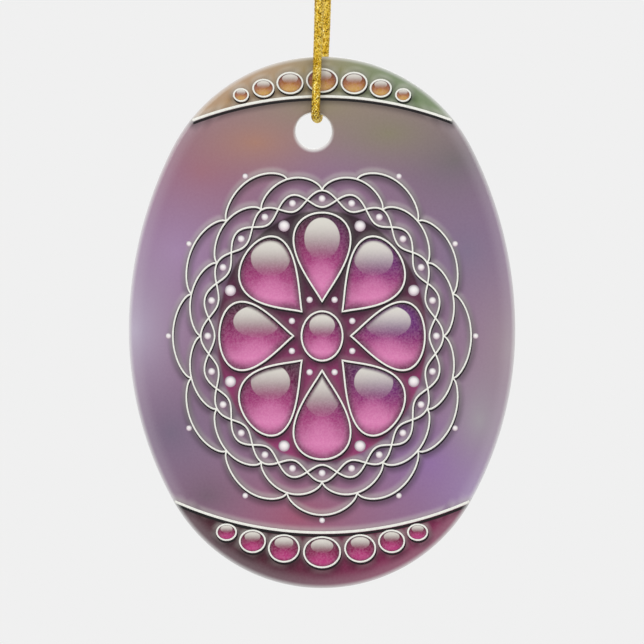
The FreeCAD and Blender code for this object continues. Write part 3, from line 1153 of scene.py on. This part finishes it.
# The rosette: drops round a middle gem, with pearls between their ends and between their tips
PETALS = 8
PETAL_INNER = 4.7
PETAL_OUTER = 17.0
PETAL_HALF_WIDTH = 5.2
PETAL_TOP = 0.74 * PETAL_OUTER
PETAL_HEIGHT = 0.13
MIDDLE_GEM_RADIUS = 3.4
GEM_HEIGHT = 0.12
OUTER_PEARLS_AT = 16.4
INNER_PEARLS_AT = 5.4

# Pearls: radius, height and number of corners
OUTER_PEARL = (0.95, 0.11, 28)
INNER_PEARL = (0.55, 0.08, 20)
LACE_PEARL = (0.62, 0.09, 20)
TIP_PEARL = (0.5, 0.08, 20)

# The lace: two waves that cross, and two rows of arches outside them
LACE_RADIUS = 18.9
LACE_WAVE = 1.15
LACE_WAVES = 12
WAVE_POINTS = 359
ARCH_SPAN = 360 / LACE_WAVES
ARCH_RISE = 2.3
ARCH_ROUNDING = 0.6
ARCH_POINTS = 60
TIP_PEARL_GAP = 0.75
# Arches of the outer row nearer than this to the top are left out, below the hole
CLEAR_TOP = 0.9 * ARCH_SPAN

# The ends: each gem's offset from the middle, half width and half height, and its gap to the line
TOP_GEMS = ((0.0, 2.5, 1.9), (5.3, 2.1, 1.7), (9.7, 1.7, 1.4), (13.4, 1.2, 1.0))
FOOT_GEMS = ((0.0, 3.0, 2.5), (6.3, 2.5, 2.2), (11.5, 2.1, 1.8), (15.8, 1.6, 1.3))
GEM_GAP = 0.75
BAND_REACH = 0.8 * HALF_WIDTH
BAND_POINTS = 160


def add_pearl(layer, middle, kind):
    radius, height, corners = kind
    add_gem(layer, oval(*middle, radius, radius, corners), middle, height)


def draw_rosette(lines, petals, pearls):
    for number in range(PETALS):
        degrees = 90 + 360 * number / PETALS
        edge = drop(PETAL_INNER, PETAL_OUTER, PETAL_HALF_WIDTH, degrees)
        add_gem(petals, edge, on_rosette(PETAL_TOP, degrees), PETAL_HEIGHT)
        lines.draw(edge, closed=True)
        between = degrees + 180 / PETALS
        add_pearl(pearls, on_rosette(OUTER_PEARLS_AT, between), OUTER_PEARL)
        add_pearl(pearls, on_rosette(INNER_PEARLS_AT, between), INNER_PEARL)
    middle = oval(*ROSETTE, MIDDLE_GEM_RADIUS, MIDDLE_GEM_RADIUS * ROSETTE_STRETCH)
    add_gem(petals, middle, ROSETTE, GEM_HEIGHT)
    lines.draw(middle, closed=True)


def lace_wave(way):
    """One of the two waves of the lace, or the other for the way -1."""
    angles = np.linspace(0, 360, WAVE_POINTS, endpoint=False)
    return on_rosette(LACE_RADIUS + way * LACE_WAVE * np.cos(np.radians(LACE_WAVES * angles)), angles)


def lace_arch(start, foot):
    """An arch that starts at an angle and stands on a ring of the radius foot."""
    shares = np.linspace(0, 1, ARCH_POINTS)
    radii = foot + ARCH_RISE * np.sin(math.pi * shares) ** ARCH_ROUNDING
    return on_rosette(radii, start + ARCH_SPAN * shares)


def draw_lace(lines, pearls):
    for way in (1, -1):
        lines.draw(lace_wave(way), closed=True, width=LACE_LINE)
    for number in range(2 * LACE_WAVES):
        add_pearl(pearls, on_rosette(LACE_RADIUS, 180 * number / LACE_WAVES), LACE_PEARL)
    for row in range(2):
        foot = LACE_RADIUS + LACE_WAVE + row * ARCH_RISE
        for number in range(LACE_WAVES):
            start = (number + row / 2) * ARCH_SPAN
            middle = start + ARCH_SPAN / 2
            from_top = abs((middle + 90) % 360 - 180)
            if row and from_top < CLEAR_TOP:
                continue
            lines.draw(lace_arch(start, foot), width=LACE_LINE)
            if row:
                tip = on_rosette(foot + ARCH_RISE + TIP_PEARL_GAP, middle)
                add_pearl(pearls, tip, TIP_PEARL)


def band_height(x, level, side):
    """The height of the arc that sets off an end, at x."""
    return level - side * (BAND_RADIUS - math.sqrt(BAND_RADIUS**2 - x**2))


def draw_band(lines, layer, gems, level, side):
    """The line along an end's arc, and the row of gems beyond it."""
    steps = np.linspace(-BAND_REACH, BAND_REACH, BAND_POINTS)
    lines.draw(np.array([(x, band_height(x, level, side)) for x in steps]), width=BAND_LINE)
    for offset, half_width, half_height in gems:
        z = band_height(offset, level, side) + side * (GEM_GAP + half_height)
        both_sides = (offset, -offset) if offset else (offset,)
        for x in both_sides:
            edge = oval(x, z, half_width, half_height)
            add_gem(layer, edge, (x, z), GEM_HEIGHT)
            lines.draw(edge, closed=True)


def make_print():
    coat = coat_material()
    lines, petals, pearls, top_gems, foot_gems = LineWork(), Layer(), Layer(), Layer(), Layer()
    draw_rosette(lines, petals, pearls)
    draw_lace(lines, pearls)
    draw_band(lines, top_gems, TOP_GEMS, TOP_BAND, 1)
    draw_band(lines, foot_gems, FOOT_GEMS, FOOT_BAND, -1)
    make_coat(coat, np.concatenate(lines.traces))
    # The lines' painted shadows: dark strips in the coat's material
    lines.edges.piece("painted_line_shadows", coat)
    lines.silver.piece("silver_lines", silver_material())
    petals.piece("rosette_glass", gem_material("rose_glass", ROSE, ROSE_AT_RIGHT))
    top_gems.piece("crown_glass", gem_material("amber_glass", AMBER))
    foot_gems.piece("foot_glass", gem_material("ruby_glass", RUBY))
    pearls.piece("pearls", pearl_material())


bpy.context.scene.view_settings.view_transform = "Standard"
make_camera()
make_cord()
make_world()
make_floor()
make_lamps()
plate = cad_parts["ceramic_plate"]
plate.data.materials[0] = porcelain_material()
make_print()
